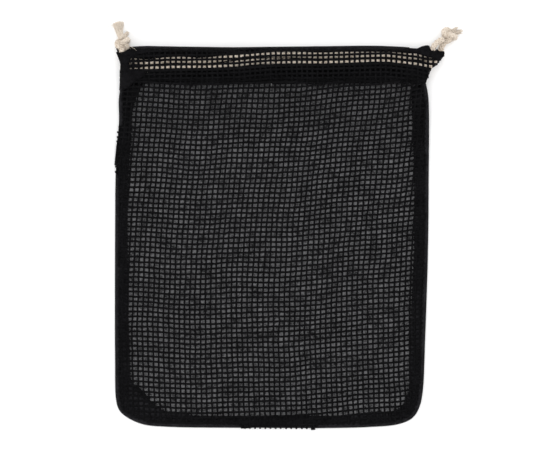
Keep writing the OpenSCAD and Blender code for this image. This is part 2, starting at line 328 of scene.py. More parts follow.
# ---------------------------------------------------------------- mesh helpers
class Shape:
    """Vertices and faces of one piece, added to bit by bit."""

    def __init__(self):
        self.verts = []
        self.faces = []
        self.count = 0

    def add(self, verts, faces):
        verts = np.asarray(verts, float)
        self.verts.append(verts)
        self.faces.extend([[i + self.count for i in face] for face in faces])
        self.count += len(verts)

    def grid(self, points, closed=False):
        """A surface through points[i][j]; closed joins the last j to the first."""
        rows, cols = points.shape[:2]
        spans = cols if closed else cols - 1
        faces = []
        for i in range(rows - 1):
            for j in range(spans):
                k = (j + 1) % cols
                faces.append((i * cols + j, i * cols + k, (i + 1) * cols + k, (i + 1) * cols + j))
        self.add(points.reshape(-1, 3), faces)

    def tube(self, points, across, up, width, height, sides):
        """A closed tube of oval section along the points; width and height may vary along it."""
        n = len(points)
        width = np.broadcast_to(np.asarray(width, float), n)[:, None, None] / 2
        height = np.broadcast_to(np.asarray(height, float), n)[:, None, None] / 2
        angle = np.arange(sides) * 2 * math.pi / sides
        ring = (
            across[:, None, :] * np.cos(angle)[None, :, None] * width
            + up[:, None, :] * np.sin(angle)[None, :, None] * height
        )
        verts = (points[:, None, :] + ring).reshape(-1, 3)
        faces = []
        for i in range(n - 1):
            for j in range(sides):
                k = (j + 1) % sides
                faces.append((i * sides + j, i * sides + k, (i + 1) * sides + k, (i + 1) * sides + j))
        faces.append(tuple(range(sides - 1, -1, -1)))
        faces.append(tuple((n - 1) * sides + j for j in range(sides)))
        self.add(verts, faces)

    def round_tube(self, points, diameter, sides=6):
        across, up = turning_frame(points)
        self.tube(points, across, up, diameter, diameter, sides)

    def build(self, name, material):
        mesh = bpy.data.meshes.new(name)
        verts = np.vstack(self.verts) * MM
        mesh.from_pydata(verts.tolist(), [], self.faces)
        mesh.validate()
        mesh.update()
        mesh.shade_smooth()
        obj = bpy.data.objects.new(name, mesh)
        bpy.context.collection.objects.link(obj)
        mesh.materials.append(material)
        return obj


def thicken(obj, thickness, under_material=None):
    """Gives a single-layer cloth its thickness, half to each side, with a second material on the lower face
    when one is given.
    """
    if under_material is not None:
        obj.data.materials.append(under_material)
    solid = obj.modifiers.new("thickness", "SOLIDIFY")
    solid.thickness = thickness * MM
    solid.offset = 0
    solid.use_even_offset = False
    if under_material is not None:
        solid.material_offset = 1
        solid.material_offset_rim = 1
    bpy.context.view_layer.objects.active = obj
    depsgraph = bpy.context.evaluated_depsgraph_get()
    mesh = bpy.data.meshes.new_from_object(obj.evaluated_get(depsgraph))
    obj.modifiers.clear()
    obj.data = mesh
    mesh.name = obj.name
    return obj


def stands_for(node):
    """Hides the CAD node that a new piece stands for."""
    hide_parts(node)


def gather(piece):
    """Bakes the piece's place into its mesh. On the bag this fabric follows its end of the mouth as the other
    side's cord draws it in; nothing here moves it.
    """
    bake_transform(piece)


def ride_or_gather(piece, side):
    """A piece at one side has its place baked into its mesh; one in the middle, side 0, is attached to the
    bag.
    """
    if side:
        gather(piece)
    else:
        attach(piece, "bag")


# ---------------------------------------------------------------- materials
TWIST_SCALE = 0.314      # scale of a wave texture whose bands lie one unit apart


def new_material(name, color, roughness, specular, sheen):
    material = bpy.data.materials.new(name)
    material.use_nodes = True
    shader = material.node_tree.nodes["Principled BSDF"]
    shader.inputs["Base Color"].default_value = (*color, 1)
    shader.inputs["Roughness"].default_value = roughness
    shader.inputs["Specular IOR Level"].default_value = specular
    shader.inputs["Sheen Weight"].default_value = sheen
    shader.inputs["Sheen Roughness"].default_value = 0.5
    return material, material.node_tree, shader


def add_node(tree, kind, **inputs):
    node = tree.nodes.new(kind)
    for key, value in inputs.items():
        node.inputs[key.replace("_", " ")].default_value = value
    return node


def math_node(tree, operation, a, b=None):
    node = tree.nodes.new("ShaderNodeMath")
    node.operation = operation
    for i, value in enumerate((a, b)):
        if value is None:
            continue
        if isinstance(value, (int, float)):
            node.inputs[i].default_value = value
        else:
            tree.links.new(value, node.inputs[i])
    return node.outputs[0]


def mixed(tree, a, share_a, b, share_b):
    """The sum of two values, each times its share."""
    parts = [math_node(tree, "MULTIPLY", value, share) for value, share in ((a, share_a), (b, share_b))]
    return math_node(tree, "ADD", *parts)


def noise(tree, coordinates, scale, detail=2.0, roughness=0.5):
    node = add_node(tree, "ShaderNodeTexNoise", Scale=scale, Detail=detail, Roughness=roughness)
    tree.links.new(coordinates, node.inputs["Vector"])
    return node.outputs["Fac"]


def ramp(tree, value, stops):
    node = tree.nodes.new("ShaderNodeValToRGB")
    elements = node.color_ramp.elements
    while len(elements) < len(stops):
        elements.new(0.5)
    for element, (place, color) in zip(elements, stops):
        element.position = place
        element.color = (*color, 1)
    tree.links.new(value, node.inputs["Fac"])
    return node.outputs["Color"]


def bump(tree, shader, height, strength, distance):
    node = add_node(tree, "ShaderNodeBump", Strength=strength, Distance=distance)
    tree.links.new(height, node.inputs["Height"])
    tree.links.new(node.outputs["Normal"], shader.inputs["Normal"])


def place_in_metres(tree):
    node = tree.nodes.new("ShaderNodeTexCoord")
    return node.outputs["Object"]


def spun_yarn(name, dark, light, specular, sheen, twist):
    """Spun yarn: flecks of lighter fibre and a fine slanting twist."""
    material, tree, shader = new_material(name, dark, 0.9, specular, sheen)
    place = place_in_metres(tree)
    fibres = noise(tree, place, 900, 3, 0.6)
    patches = noise(tree, place, 60, 2)
    mix = mixed(tree, fibres, 0.7, patches, 0.3)
    tree.links.new(ramp(tree, mix, [(0.36, dark), (0.68, light)]), shader.inputs["Base Color"])
    wave = add_node(tree, "ShaderNodeTexWave", Scale=TWIST_SCALE / (twist * MM), Distortion=2.0, Detail=2.0)
    wave.bands_direction = "DIAGONAL"
    tree.links.new(place, wave.inputs["Vector"])
    height = math_node(tree, "ADD", wave.outputs["Fac"], fibres)
    bump(tree, shader, height, 0.6, 0.00025)
    return material


def woven_cloth(name, dark, light, specular):
    """Plain weave: warp and weft threads that cross over and under, with slubs and lighter flecks."""
    material, tree, shader = new_material(name, dark, 0.92, specular, 0.0)
    place = place_in_metres(tree)
    split = tree.nodes.new("ShaderNodeSeparateXYZ")
    tree.links.new(place, split.inputs[0])
    turn = math.pi / (THREAD * MM)
    warp = math_node(tree, "SINE", math_node(tree, "MULTIPLY", split.outputs["X"], turn))
    weft = math_node(tree, "SINE", math_node(tree, "MULTIPLY", split.outputs["Y"], turn))
    crossing = math_node(tree, "MULTIPLY", warp, weft)
    raised = math_node(tree, "MULTIPLY_ADD", crossing, 0.25)
    raised.node.inputs[2].default_value = 0.5
    flecks = noise(tree, place, 620, 3, 0.65)
    slubs = noise(tree, place, 95, 2)
    # Thread tops are lighter and the dips between crossings darker: painted shade in the weave, with the
    # random slubs and flecks on top of it.
    mix = mixed(tree, raised, 0.35, mixed(tree, flecks, 0.75, slubs, 0.3), 0.72)
    tree.links.new(ramp(tree, mix, [(0.47, dark), (0.63, light)]), shader.inputs["Base Color"])
    height = math_node(tree, "ADD", raised, math_node(tree, "MULTIPLY", flecks, 0.4))
    bump(tree, shader, height, 0.7, 0.0003)
    return material


NET_YARN = spun_yarn("net_yarn", (0.0016, 0.0016, 0.0018), (0.0066, 0.0064, 0.0074), 0.06, 0.0, 0.5)
BLACK_THREAD = spun_yarn("black_thread", (0.0015, 0.0015, 0.0017), (0.006, 0.006, 0.0065), 0.06, 0.0, 0.3)
CREAM_COTTON = spun_yarn("cream_cotton", (0.56, 0.47, 0.38), (0.84, 0.765, 0.67), 0.2, 0.1, 0.45)
# The back cloth's top face: the same black cloth as the outside face, painted much lighter. This is painted
# light for the floor's light shining up through the thin cloth, lighter still to offset the net's shadow on
# it.
CLOTH_INSIDE_PAINTED_LIGHT = woven_cloth("cloth_inside_painted_light", (0.014, 0.014, 0.0148), (0.236, 0.236, 0.244), 0.06)
CLOTH_OUTSIDE = woven_cloth("cloth_outside", (0.0042, 0.0041, 0.0047), (0.0152, 0.0148, 0.0168), 0.06)
# The corner wraps' cloth: a darker copy of the same black cloth as the outside face, for wraps that lie on top
# in full light: painted shade. The outside face's copy is lighter and lies mostly in the net's shade.
CLOTH_TURNED_PAINTED_SHADE = woven_cloth("cloth_turned_painted_shade", (0.0016, 0.0015, 0.0018), (0.0062, 0.006, 0.007), 0.05)


# ---------------------------------------------------------------- the bag's outline
def make_rim():
    """The outline as a smooth line, a point every 2 mm, and the way inwards at each point."""
    line = smooth_curve(OUTLINE, 2.0)
    smooth_out(line, 3)
    line = resample(line, 2.0)
    middle = np.argmin(np.abs(line[:, 0]) + 1000 * (line[:, 1] > 0))
    line[middle, 0] = 0
    tangent = unit(np.gradient(line, axis=0))
    inward = np.stack([-tangent[:, 1], tangent[:, 0]], axis=1)
    return line, inward, middle


RIM, INWARD, RIM_MIDDLE = make_rim()


def rim_depth(x, y):
    """How far a point is inside the outline; less than 0 outside. The mouth's side counts as open."""
    points = np.stack([np.ravel(x), np.ravel(y)], axis=1)
    far_up = 400.0
    loop = np.vstack([[RIM[0, 0], far_up], RIM, [RIM[-1, 0], far_up]])
    batches = np.array_split(points, max(1, len(points) // 4000))
    return np.concatenate([outline_depth(batch, loop) for batch in batches]).reshape(np.shape(x))


def outline_depth(points, loop):
    """How far points are inside a closed loop; less than 0 outside."""
    a, b = loop, np.roll(loop, -1, axis=0)
    edge = b - a
    rel = points[:, None, :] - a[None]
    t = np.clip((rel * edge).sum(axis=2) / (edge ** 2).sum(axis=1), 0, 1)
    gap = np.linalg.norm(rel - t[..., None] * edge, axis=2).min(axis=1)
    crosses = (a[None, :, 1] > points[:, None, 1]) != (b[None, :, 1] > points[:, None, 1])
    slope = edge[:, 0] / np.where(edge[:, 1] == 0, 1e-9, edge[:, 1])
    at = a[None, :, 0] + (points[:, None, 1] - a[None, :, 1]) * slope
    inside = (crosses & (points[:, None, 0] < at)).sum(axis=1) % 2 == 1
    return np.where(inside, gap, -gap)


def window(value, span, soft=5.0):
    """1 within the span, falling to 0 over a soft edge."""
    return smoothstep((value - span[0]) / soft + 0.5) * smoothstep((span[1] - value) / soft + 0.5)


def teeth(x, y):
    """1 where the net's own yarns make the bag's edge, and 0 where the rolled cloth does."""
    left = window(y, LEFT_TEETH) * (x < -60)
    bottom = window(x, BOTTOM_TEETH) * (y < -100)
    return np.maximum(left, bottom)


def net_edge(x, y):
    """How far inside the outline the net ends."""
    at = teeth(x, y)
    return (LIP - 0.5) * (1 - at) - TOOTH * at


# ---------------------------------------------------------------- heights
def lip_height(y):
    """Height of the rolled side edge: low along the bag, and up to mid mouth at the hem."""
    return SEAM_Z + SEAM_RISE * smoothstep((np.asarray(y, float) - 45) / 78) ** 1.3


def roof_height(y):
    """Height of the net's middle: nearly flat, then rising to the front hem."""
    rise = np.clip((np.asarray(y, float) - 48) / (HEM_Y - 48), 0, 1.2)
    return ROOF_Z + ROOF_RISE * rise ** 1.7


def planned_front(x, y):
    """Front net before it sags: from the side seams up to the roof."""
    depth = rim_depth(x, y) - net_edge(x, y)
    width = 6 + 9 * smoothstep((y - 40) / 82)
    rise = np.sin(math.pi / 2 * np.clip(depth / width, 0, 1))
    return lip_height(y) - 0.4 + (roof_height(y) - lip_height(y) + 0.4) * rise


def cloth_relief(x, y):
    """Soft low waves of the back cloth where it lies away from its seams."""
    waves = (
        0.5 * np.sin(x / 23.0 + 1.3 * np.sin(y / 41.0))
        + 0.35 * np.sin(y / 17.0 - x / 61.0)
        + 0.25 * np.sin((x + y) / 12.0)
    )
    calm = smoothstep((rim_depth(x, y) - 7) / 25) * smoothstep((HEM_Y - y) / 20)
    return 0.28 + calm * 0.42 * (waves + 1.1)


class HeightGrid:
    """Heights on a square grid."""

    def __init__(self, x0, y0, step, values):
        self.x0, self.y0, self.step, self.values = x0, y0, step, values

    def at(self, x, y):
        return read_grid(self.values, (y - self.y0) / self.step, (x - self.x0) / self.step)


SIM_SCALE = 10.0         # the cloth simulation runs at ten times the size, where its fixed margins are small
SIM_FRAMES = 40


def drape_front():
    """Lets the front net sag on the back cloth by cloth simulation, and returns its heights."""
    step, x0, y0 = 4.0, -132.0, -160.0
    gx, gy = np.meshgrid(np.arange(x0, 136.1, step), np.arange(y0, 128.1, step))
    plan = planned_front(gx, gy)
    ripple = np.random.default_rng(7).normal(0, 0.5, plan.shape)
    calm = smoothstep((rim_depth(gx, gy) - 8) / 20) * smoothstep((112 - gy) / 20)
    start = plan + 0.6 + calm * ripple
    shape = Shape()
    shape.grid(np.stack([gx, gy, start], axis=2) * SIM_SCALE)
    cloth = shape.build("drape", NET_YARN)
    held = (rim_depth(gx, gy) < 5.5) | (gy > 114)
    pins = cloth.vertex_groups.new(name="held")
    pins.add([int(i) for i in np.flatnonzero(held.ravel())], 1.0, "REPLACE")
    bed_shape = Shape()
    bed_shape.grid(np.stack([gx, gy, cloth_relief(gx, gy) + 1.0], axis=2) * SIM_SCALE)
    bed = bed_shape.build("drape_bed", NET_YARN)
    bed.modifiers.new("collision", "COLLISION")
    bed.collision.thickness_outer = 0.005
    modifier = cloth.modifiers.new("cloth", "CLOTH")
    settings = modifier.settings
    settings.quality = 6
    settings.mass = 0.2
    settings.tension_stiffness = 12
    settings.compression_stiffness = 12
    settings.shear_stiffness = 4
    settings.bending_stiffness = 1.2
    settings.air_damping = 2
    settings.vertex_group_mass = "held"
    settings.shrink_min = -0.008
    modifier.collision_settings.distance_min = 0.005
    modifier.point_cache.frame_start = 1
    modifier.point_cache.frame_end = SIM_FRAMES
    scene = bpy.context.scene
    for number in range(1, SIM_FRAMES + 1):
        scene.frame_set(number)
    depsgraph = bpy.context.evaluated_depsgraph_get()
    result = cloth.evaluated_get(depsgraph).to_mesh()
    points = np.empty(len(result.vertices) * 3)
    result.vertices.foreach_get("co", points)
    heights = points.reshape(-1, 3)[:, 2].reshape(plan.shape) / MM / SIM_SCALE
    bpy.data.objects.remove(cloth)
    bpy.data.objects.remove(bed)
    scene.frame_set(1)
    return HeightGrid(x0, y0, step, heights)


# ---------------------------------------------------------------- net
def column_lean(y):
    """How far a column of the net leans sideways at height y."""
    return 0.033 * y - 4.9 * np.cos((y + 40) * math.pi / 220)


def row_rise(x):
    """How far a row of the net has risen at place x."""
    return 0.045 * x + 0.0004 * x ** 2 + 0.52 * np.sin(2 * math.pi * (x - 40) / 82)


class Jitter:
    """Small uneven shifts of the net's crossings, the same for both yarns of a crossing."""

    def __init__(self, seed, columns, rows):
        draw = np.random.default_rng(seed)
        self.first_column, self.first_row = columns[0], rows[0]
        shape = (columns[1] - columns[0] + 2, rows[1] - rows[0] + 2, 2)
        fine = draw.normal(0, 0.13, shape)
        broad = draw.normal(0, 1, shape)
        for _ in range(10):
            for axis in (0, 1):
                broad = (np.roll(broad, 1, axis) + 2 * broad + np.roll(broad, -1, axis)) / 4
        self.shift = fine + broad * 0.28 / broad.std()

    def at(self, column, row):
        return read_grid(self.shift, column - self.first_column, row - self.first_row)


def kept_runs(values, keep):
    """The stretches of a line of values where keep is above 0, cut where it reaches 0."""
    runs, run = [], []
    for i in range(len(values)):
        if keep[i] > 0:
            if not run and i > 0:
                share = keep[i - 1] / (keep[i - 1] - keep[i])
                run.append(values[i - 1] + (values[i] - values[i - 1]) * share)
            run.append(values[i])
        elif run:
            share = keep[i - 1] / (keep[i - 1] - keep[i])
            run.append(values[i - 1] + (values[i] - values[i - 1]) * share)
            runs.append(np.array(run))
            run = []
    if run:
        runs.append(np.array(run))
    return [r for r in runs if len(r) > 2 and along(r[:, :3])[-1] > 1.0]


def lay_yarn(shape, points, normals, keep, yarn_w):
    """One yarn of the net, cut to where it is kept, with its flat side along the surface."""
    widths = np.broadcast_to(yarn_w, len(points))[:, None]
    lined = np.hstack([points, normals, widths])
    for run in kept_runs(lined, keep):
        line, normal = run[:, :3], unit(run[:, 3:6])
        tangent = unit(np.gradient(line, axis=0))
        across = unit(np.cross(tangent, normal))
        up = np.cross(across, tangent)
        shape.tube(line, across, up, run[:, 6], YARN_H, YARN_SIDES)


def woven_yarns(rows, row_steps, column_w, row_w, doubled_row=None):
    """Each yarn of a net, columns first: the columns and rows it passes, its weave up and down, its width."""
    down = np.arange(rows[0] * row_steps, rows[1] * row_steps + 1) / row_steps
    for column in range(COLUMNS[0], COLUMNS[1] + 1):
        yield np.full_like(down, column), down, WAVE * np.cos(math.pi * down) * (-1) ** column, column_w
    across = np.arange(COLUMNS[0] * STEPS, COLUMNS[1] * STEPS + 1) / STEPS
    for row in range(rows[0], rows[1] + 1):
        weave = -WAVE * np.cos(math.pi * across) * (-1) ** row
        if row == doubled_row:
            yield across, np.full_like(across, row - DOUBLED_SHIFT), weave, row_w * DOUBLED_WIDTH
        else:
            yield across, np.full_like(across, row), weave, row_w


def panel_points(column, row, jitter, front):
    """Where the point (column, row) of the front net lies; whole numbers are the crossings."""
    x, y = column * PITCH_X, row * PITCH_Y
    for _ in range(5):
        x = column * PITCH_X + column_lean(y)
        y = row * PITCH_Y + row_rise(x)
    shift = jitter.at(column, row)
    x = x + shift[:, 0]
    y = y + shift[:, 1]
    return x, y, front.at(x, y)


def make_front_net(front):
    """The net front in two halves, woven of oval yarns that pass over and under each other."""
    jitter = Jitter(3, COLUMNS, PANEL_ROWS)
    halves = {-1: Shape(), 1: Shape()}
    for column, row, weave, yarn_w in woven_yarns(PANEL_ROWS, STEPS, COLUMN_YARN_W, ROW_YARN_W):
        x, y, z = panel_points(column, row, jitter, front)
        points = np.stack([x, y, z + weave], axis=1)
        normals = np.tile((0.0, 0.0, 1.0), (len(x), 1))
        keep = np.minimum(rim_depth(x, y) - net_edge(x, y), HEM_Y + 1.0 - y)
        for side, shape in halves.items():
            lay_yarn(shape, points, normals, np.minimum(keep, side * x), yarn_w)
    for side, name in ((-1, "front_net_left"), (1, "front_net_right")):
        piece = halves[side].build(name, NET_YARN)
        stands_for("front_net_panel")
        gather(piece)


# ---------------------------------------------------------------- hems
class Hem:
    """The folded tube along one side of the mouth, as points at (x, s), s running round its section
    from the stitches along the outer wall, over the fold and back down the inner wall."""

    def __init__(self, outer_z, inner_z, closed_z, fold, drop):
        self.outer_z, self.inner_z, self.closed_z = outer_z, inner_z, closed_z
        self.fold, self.drop = fold, drop
        self.radius = abs(outer_z - inner_z) / 2

    def section(self, x, s):
        """y, z, and the surface's normal at (x, s)."""
        r = self.radius
        way = 1 if self.outer_z > self.inner_z else -1
        middle = (self.outer_z + self.inner_z) / 2
        straight = self.fold(x) - r - HEM_Y
        turn = np.clip((s - straight) / r, 0, math.pi)
        past = np.maximum(s - straight - math.pi * r, 0)
        y = np.where(s < straight, HEM_Y + s, HEM_Y + straight + r * np.sin(turn) - past)
        z = middle + way * r * np.cos(turn)
        closing = smoothstep((HEM_Y + 8.5 - y) / 7.5) * (turn >= math.pi)
        z = z + (self.closed_z - self.inner_z) * closing
        sag = np.sin(np.clip((y - HEM_Y) / 10, 0, 1) * math.pi) * 0.5 * (turn <= 0)
        z = z - way * sag
        edge = mouth_end(x, y)
        out = np.clip((np.abs(x) - TUNNEL_X) / np.maximum(np.abs(edge) - TUNNEL_X, 1), 0, 1)
        low, high = self.drop
        fall = low + (high - low) * smoothstep((y - HEM_Y - 3) / 19)
        z = z - way * fall * out ** 2
        normal = np.stack([np.zeros_like(z), np.sin(turn), way * np.cos(turn)], axis=-1)
        return y, z, normal

    def length(self, x):
        """Whole length of the section at x, round to the stitches again."""
        straight = self.fold(x) - self.radius - HEM_Y
        return 2 * straight + math.pi * self.radius - 1.5

    def fold_end(self, x):
        """s where the outer wall's turn reaches a quarter."""
        return self.fold(x) - self.radius - HEM_Y + self.radius * math.pi / 2


def mouth_end(x, y):
    """x of the hem's free end at height y, at the side of the bag that x is on."""
    return np.where(x < 0, read_table(LEFT_END, y), read_table(RIGHT_END, y))


def front_fold(x):
    return read_table(FRONT_FOLD, x)


def back_fold(x):
    """The back hem's fold: nearly level, with long soft waves and a dip before the flared right end."""
    spread = np.array([-4.0, -2.0, 0.0, 2.0, 4.0])
    return read_table(BACK_FOLD, np.asarray(x, float)[..., None] + spread).mean(axis=-1)


def front_cord_points():
    """Points along the parts of both cords that run in the front hem."""
    line = np.vstack([resample(route, 1.0) for route in (LEFT_ROUTE, RIGHT_ROUTE)])
    return line[line[:, 2] > MOUTH_Z + 1.5]


CORD_POINTS = front_cord_points()


def over_cords(x, y, z):
    """The height z, raised where the net bridges over the cords below it."""
    shape = np.shape(z)
    points = np.stack([np.ravel(np.broadcast_to(x, shape)), np.ravel(np.broadcast_to(y, shape))], axis=1)
    clear = CORD_D / 2 + YARN_H / 2 + WAVE
    found = []
    for batch in np.array_split(points, max(1, len(points) // 4000)):
        gap2 = ((batch[:, None, :] - CORD_POINTS[None, :, :2]) ** 2).sum(axis=2)
        found.append((CORD_POINTS[None, :, 2] + clear - gap2 / 9.0).max(axis=1))
    return np.maximum(z, np.concatenate(found).reshape(shape))


FRONT_HEM = Hem(outer_z=18.1, inner_z=12.3, closed_z=17.6, fold=front_fold, drop=(8.0, 3.2))
BACK_HEM = Hem(outer_z=0.3, inner_z=6.95, closed_z=1.1, fold=back_fold, drop=(8.8, 0.6))


def make_front_hem():
    """The net hem in four pieces: its two halves and its two flared ends."""
    jitter = Jitter(11, COLUMNS, (-8, 16))
    spans = {
        "front_hem_left": (-TUNNEL_X, 0), "front_hem_right": (0, TUNNEL_X),
        "front_left_end": (-150, -TUNNEL_X), "front_right_end": (TUNNEL_X, 150),
    }
    shapes = {name: Shape() for name in spans}
    lean = float(column_lean(HEM_Y))
    yarns = woven_yarns(HEM_ROWS, HEM_STEPS, HEM_COLUMN_YARN_W, HEM_ROW_YARN_W, DOUBLED_ROW)
    for column, row, weave, yarn_w in yarns:
        shift = jitter.at(column, row)
        x = column * PITCH_X + lean + shift[:, 0] * 0.8
        s = (row + 0.5) * HEM_PITCH + read_table(HEM_ROW, x) - HEM_Y + shift[:, 1] * 0.6
        y, z, normal = FRONT_HEM.section(x, s)
        z = np.where(normal[:, 2] > 0.5, over_cords(x, y, z), z)
        points = np.stack([x, y, z], axis=1) + normal * weave[:, None]
        crowded = 1 + 0.32 * smoothstep((-100 - x) / 9)
        round_fold = s - FRONT_HEM.fold_end(x)
        for name, shape in shapes.items():
            low, high = spans[name]
            keep = np.minimum(x - low, high - x)
            keep = np.minimum(keep, np.minimum(s + 0.2, FRONT_HEM.length(x) - s))
            if name.endswith("end"):
                keep = np.minimum(keep, np.minimum(x - read_table(LEFT_END, y), read_table(RIGHT_END, y) - x))
                keep = np.minimum(keep, -round_fold + 0.5)
            lay_yarn(shape, points, normal, keep, yarn_w * crowded)
    for name, node, side in (
        ("front_hem_left", "front_cord_tunnel", -1), ("front_hem_right", "front_cord_tunnel", 1),
        ("front_left_end", "front_left_tunnel_end", -1), ("front_right_end", "front_right_tunnel_end", 1),
    ):
        piece = shapes[name].build(name, NET_YARN)
        stands_for(node)
        gather(piece)


def staggered_grid(low, high, spacing):
    """x and y of points in rows, each second row shifted by half a step."""
    gx, gy = np.meshgrid(np.arange(low[0], high[0], spacing), np.arange(low[1], high[1], spacing))
    return gx + spacing / 2 * (np.arange(gx.shape[0]) % 2)[:, None], gy


def triangulate(border, inner):
    """Points and triangles that fill a closed border, with the inner points among them."""
    points = [Vector(p) for p in np.vstack([border, inner])]
    edges = [(i, (i + 1) % len(border)) for i in range(len(border))]
    flat, _, faces, *_ = delaunay_2d_cdt(points, edges, [], 1, 1e-4)
    return np.array([tuple(v) for v in flat]), faces


def fill_outline(points, spacing):
    """Points and triangles that fill a closed outline."""
    border = resample(np.vstack([points, points[:1]]), spacing)[:-1]
    gx, gy = staggered_grid(border.min(axis=0), border.max(axis=0), spacing)
    inner = np.stack([gx.ravel(), gy.ravel()], axis=1)
    return triangulate(border, inner[outline_depth(inner, border) > spacing * 0.55])


def make_corner_wraps():
    """Where the hem's raw ends are turned back over the net at the two corners of the mouth."""
    for name, outline, node, side, lift in (
        ("left_corner_wrap", LEFT_WRAP, "front_left_tunnel_end", -1, 0.95),
        ("right_corner_wrap", RIGHT_WRAP, "front_right_tunnel_end", 1, 0.95),
        ("right_turned_edge", RIGHT_TURNED_EDGE, "front_right_tunnel_end", 1, -1.1),
    ):
        border = smooth_curve(outline + outline[:1], 1.0)[:-1]
        flat, faces = fill_outline(border, 1.5)
        x, y = flat[:, 0], flat[:, 1]
        s = np.minimum(y - HEM_Y, FRONT_HEM.fold(x) - FRONT_HEM.radius - HEM_Y)
        _, z, _ = FRONT_HEM.section(x, s)
        below = smoothstep((HEM_Y + 1 - y) / 6)
        z = z * (1 - below) + planned_front(x, y) * below
        edge = mouth_end(x, y)
        outer = np.minimum(np.abs(edge) - np.abs(x), FRONT_HEM.fold(x) + 1.5 - y)
        roll = 2.4 * np.clip(1 - outer / 2.4, 0, 1.3) ** 2
        if lift > 0:
            z = over_cords(x, y, z)
        z = z + lift - roll + 0.22 * np.sin(x * 0.9 + 2 * np.sin(y * 0.3)) + 0.16 * np.sin(y * 1.9 - x * 0.6)
        shape = Shape()
        shape.add(np.column_stack([flat, z]), faces)
        # The wraps are built from the darker copy of the cloth: painted shade.
        piece = thicken(shape.build(name, CLOTH_TURNED_PAINTED_SHADE), CLOTH_T)
        stands_for(node)
        gather(piece)


def make_back_hem():
    """The cloth hem in four pieces. Its outer face shows, because the hem is turned inwards."""
    for name, side in (("back_hem_left", -1), ("back_hem_right", 1)):
        xs = np.linspace(0, TUNNEL_X, 45)[:, None] * side
        share = np.linspace(0, 1, 44)[None, :]
        x = np.broadcast_to(xs, (45, 44))
        s = share * BACK_HEM.length(x)
        y, z, _ = BACK_HEM.section(x, s)
        z = z + 0.25 * (1 + np.sin(x / 9 + y / 7)) * smoothstep((y - 128) / 8) * (z > 4) * 0.6
        shape = Shape()
        points = np.stack([x, y, z], axis=2)
        shape.grid(points if side < 0 else points[::-1])
        piece = thicken(shape.build(name, CLOTH_OUTSIDE), CLOTH_T)
        stands_for("back_cord_tunnel")
        gather(piece)
    for name, node, edge, side in (
        ("back_left_end", "back_left_tunnel_end", LEFT_END, -1),
        ("back_right_end", "back_right_tunnel_end", RIGHT_END, 1),
    ):
        out = np.linspace(0, 1, 16)[:, None]
        share = np.linspace(0, 1, 26)[None, :]
        start = BACK_HEM.fold_end(np.array(TUNNEL_X * side)) - (1.5 if side > 0 else 0.4)
        s = np.broadcast_to(share * start, (16, 26)) - (1.6 if side > 0 else 0) * out * share ** 6
        y_first = np.clip(HEM_Y + s, None, TOP_Y)
        x = side * TUNNEL_X + out * (read_table(edge, y_first) - side * TUNNEL_X)
        y, z, _ = BACK_HEM.section(x, s)
        shape = Shape()
        points = np.stack([x, y, z], axis=2)
        shape.grid(points if side < 0 else points[::-1])
        piece = thicken(shape.build(name, CLOTH_OUTSIDE), CLOTH_T)
        stands_for(node)
        gather(piece)


# ---------------------------------------------------------------- back cloth and seams
def lip_section(y, tooth):
    """The cloth's section at the rim as (depth inside the outline, height), from flat to the lip."""
    top = lip_height(y)
    lip = LIP * (1 - tooth) + 0.5 * tooth
    return [
        (6.0, 0.28), (4.4, 0.28), (3.0, 0.34), (1.9, 0.55 + 0.02 * top), (1.0, 1.0 + 0.05 * top),
        (0.4, 0.28 * top + 0.5), (0.1, 0.5 * top + 0.2), (0.15, 0.72 * top + 0.1), (0.5, 0.9 * top),
        (min(1.1, lip), 0.99 * top), (min(1.9, lip + 0.2), top + 0.1), (lip + 0.2, top - 0.1),
        (lip + 0.5, top - 0.8),
    ]


def rim_rings(side):
    """Points of the cloth's rolled edge along one half of the rim: [place along it][from flat to lip]."""
    part = slice(0, RIM_MIDDLE + 1) if side < 0 else slice(RIM_MIDDLE, len(RIM))
    line, inward = RIM[part], INWARD[part].copy()
    inward[-1 if side < 0 else 0] = (0, 1)
    inward[0 if side < 0 else -1] = (-side, 0)
    tooth = teeth(line[:, 0], line[:, 1])
    sections = np.array([lip_section(y, t) for y, t in zip(line[:, 1], tooth)])
    wobble = 0.12 * np.sin(along(line) / 5.3)[:, None]
    depth = sections[:, :, 0] + wobble * (sections[:, :, 0] > 0.3) * (sections[:, :, 0] < 4)
    xy = line[:, None, :] + inward[:, None, :] * depth[:, :, None]
    return np.concatenate([xy, sections[:, :, 1:]], axis=2)


def make_back_cloth():
    """The cloth back in two halves, with its side edges rolled up and over to meet the net."""
    for side, name in ((-1, "back_cloth_left"), (1, "back_cloth_right")):
        rings = rim_rings(side)
        shape = Shape()
        shape.grid(rings[:, ::-1])
        inner = rings[:, 0, :2]
        closing = resample(np.vstack([inner[-1], (0.0, HEM_Y), inner[0]]), CLOTH_GRID)[1:-1]
        gx, gy = staggered_grid((-126, -150), (127, HEM_Y - 1), CLOTH_GRID)
        inside = (rim_depth(gx, gy) > 7.8) & (side * gx > 1.2) & (gy < HEM_Y - 1.5)
        flat, faces = triangulate(np.vstack([inner, closing]), np.stack([gx[inside], gy[inside]], axis=1))
        z = cloth_relief(flat[:, 0], flat[:, 1])
        shape.add(np.column_stack([flat, z]), faces)
        # Top face: the lighter copy of the cloth, painted light for the floor's light shining through it; the
        # face below keeps the cloth's own dark colour.
        piece = shape.build(name, CLOTH_INSIDE_PAINTED_LIGHT)
        weld(piece)
        thicken(piece, CLOTH_T, CLOTH_OUTSIDE)
        stands_for("back_cloth_panel")
        gather(piece)


